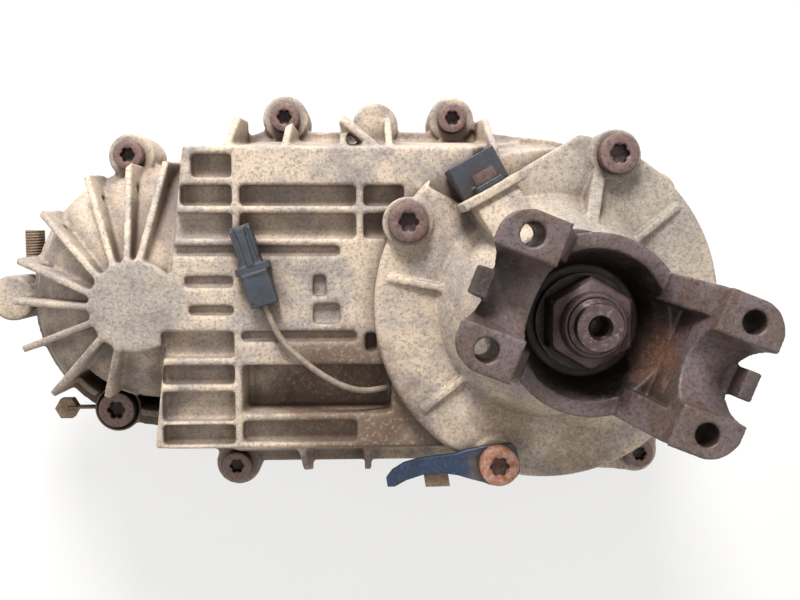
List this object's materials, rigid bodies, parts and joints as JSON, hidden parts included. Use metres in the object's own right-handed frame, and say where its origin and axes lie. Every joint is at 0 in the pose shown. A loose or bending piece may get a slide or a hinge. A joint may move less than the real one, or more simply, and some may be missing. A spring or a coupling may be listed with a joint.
{
  "type": "transfer case",
  "caption": "Chain-driven transfer case: two ribbed cast halves with planetary range gears, an electromagnetic clutch, a rear yoke and an offset front output flange.",
  "frame": {"origin": "input axis on the front mounting face", "axes": "+Z along the main shaft to the rear yoke, -X to the front output, +Y up across the top bolt ears"},
  "size_m": [0.4302, 0.243, 0.31],
  "materials": {
    "cast_aluminium": "sand-cast, weathered",
    "bolt_steel": "oxidised steel",
    "yoke_iron": "bare forged steel with rust",
    "machined_steel": "machined",
    "gear_steel": "hardened",
    "friction_lining": "lined",
    "coil_housing": "coated",
    "seal_rubber": "nitrile",
    "motor_grey": "die-cast, painted",
    "black_plastic": "moulded",
    "wire_jacket": "dusty jacket"
  },
  "bodies": {
    "case": {"front_case": "cast_aluminium", "rear_case": "cast_aluminium", "rear_retainer": "cast_aluminium", "case_bolts": "bolt_steel", "retainer_bolts": "bolt_steel", "dowel_pins": "machined_steel", "oil_plugs": "machined_steel", "input_seal": "seal_rubber", "input_bearing_outer": "machined_steel", "ring_gear": "gear_steel", "shift_rail": "machined_steel", "shift_motor": "motor_grey", "oil_pump": "cast_aluminium", "pickup_tube": "black_plastic", "oil_strainer": "black_plastic", "drive_chain": "gear_steel", "clutch_coil": "coil_housing", "rear_bearing_outer": "machined_steel", "snap_ring": "machined_steel", "rear_seal": "seal_rubber", "speed_sensor": "black_plastic", "sensor_bolt": "bolt_steel", "wire_grommet": "seal_rubber", "clutch_wire": "wire_jacket", "wire_connector": "black_plastic", "wire_bracket": "machined_steel", "corner_clip": "machined_steel", "locating_stud": "machined_steel", "front_bearing_outers": "machined_steel", "front_seal": "seal_rubber"},
    "input": {"input_shaft": "machined_steel", "input_bearing_inner": "machined_steel"},
    "carrier": {"planet_carrier": "gear_steel", "planet_pins": "machined_steel"},
    "planet_1": {"planet_gear_1": "gear_steel"},
    "planet_2": {"planet_gear_2": "gear_steel"},
    "planet_3": {"planet_gear_3": "gear_steel"},
    "planet_4": {"planet_gear_4": "gear_steel"},
    "rear_output": {"main_shaft": "machined_steel", "oil_pump_rotor": "gear_steel", "clutch_hub": "gear_steel", "friction_discs": "friction_lining", "rear_bearing_inner": "machined_steel", "tone_ring": "gear_steel", "rear_yoke": "yoke_iron", "yoke_washer": "machined_steel", "yoke_nut": "machined_steel", "slinger": "machined_steel"},
    "front_drive": {"drive_sprocket": "gear_steel", "clutch_drum": "gear_steel", "steel_discs": "gear_steel", "clutch_armature": "gear_steel"},
    "front_output": {"front_shaft": "machined_steel", "driven_sprocket": "gear_steel", "front_bearing_inners": "machined_steel", "front_flange": "yoke_iron", "front_nut": "machined_steel"},
    "collar": {"range_collar": "gear_steel"},
    "fork": {"range_fork": "gear_steel"},
    "shift": {"shift_shaft": "machined_steel"}
  },
  "joints": [
    {"name": "main_spin", "type": "hinge", "parent": "case", "child": "rear_output", "pos_m": [0, 0, 0.2], "axis": [0, 0, 1], "continuous": true},
    {"name": "input_spin", "type": "hinge", "parent": "case", "child": "input", "pos_m": [0, 0, 0.02], "axis": [0, 0, 1], "continuous": true},
    {"name": "carrier_spin", "type": "hinge", "parent": "case", "child": "carrier", "pos_m": [0, 0, 0.05], "axis": [0, 0, 1], "continuous": true},
    {"name": "front_drive_spin", "type": "hinge", "parent": "case", "child": "front_drive", "pos_m": [0, 0, 0.12], "axis": [0, 0, 1], "continuous": true},
    {"name": "front_output_spin", "type": "hinge", "parent": "case", "child": "front_output", "pos_m": [-0.22225, 0, 0.1], "axis": [0, 0, 1], "continuous": true},
    {"name": "fork_slide", "type": "slide", "parent": "case", "child": "fork", "axis": [0, 0, 1], "range_m": [0, 0.011]},
    {"name": "collar_slide", "type": "slide", "parent": "rear_output", "child": "collar", "axis": [0, 0, 1], "range_m": [0, 0.011]},
    {"name": "shift_turn", "type": "hinge", "parent": "case", "child": "shift", "pos_m": [-0.1, 0.06, 0.05], "axis": [0, -1, 0], "range_deg": [0, 40]},
    {"name": "planet_1_spin", "type": "hinge", "parent": "carrier", "child": "planet_1", "pos_m": [0.048, 0, 0.05], "axis": [0, 0, 1], "continuous": true},
    {"name": "planet_2_spin", "type": "hinge", "parent": "carrier", "child": "planet_2", "pos_m": [0, 0.048, 0.05], "axis": [0, 0, 1], "continuous": true},
    {"name": "planet_3_spin", "type": "hinge", "parent": "carrier", "child": "planet_3", "pos_m": [-0.048, 0, 0.05], "axis": [0, 0, 1], "continuous": true},
    {"name": "planet_4_spin", "type": "hinge", "parent": "carrier", "child": "planet_4", "pos_m": [0, -0.048, 0.05], "axis": [0, 0, 1], "continuous": true}
  ],
  "couplings": [
    {"joint": "input_spin", "follows": "main_spin", "ratio": 1},
    {"joint": "carrier_spin", "follows": "main_spin", "ratio": 0.4},
    {"joint": "front_drive_spin", "follows": "main_spin", "ratio": 1},
    {"joint": "front_output_spin", "follows": "main_spin", "ratio": 1},
    {"joint": "collar_slide", "follows": "fork_slide", "ratio": 1},
    {"joint": "shift_turn", "follows": "fork_slide", "rad_per_m": 63.466},
    {"joint": "planet_1_spin", "follows": "main_spin", "ratio": -2.4},
    {"joint": "planet_2_spin", "follows": "main_spin", "ratio": -2.4},
    {"joint": "planet_3_spin", "follows": "main_spin", "ratio": -2.4},
    {"joint": "planet_4_spin", "follows": "main_spin", "ratio": -2.4}
  ]
}
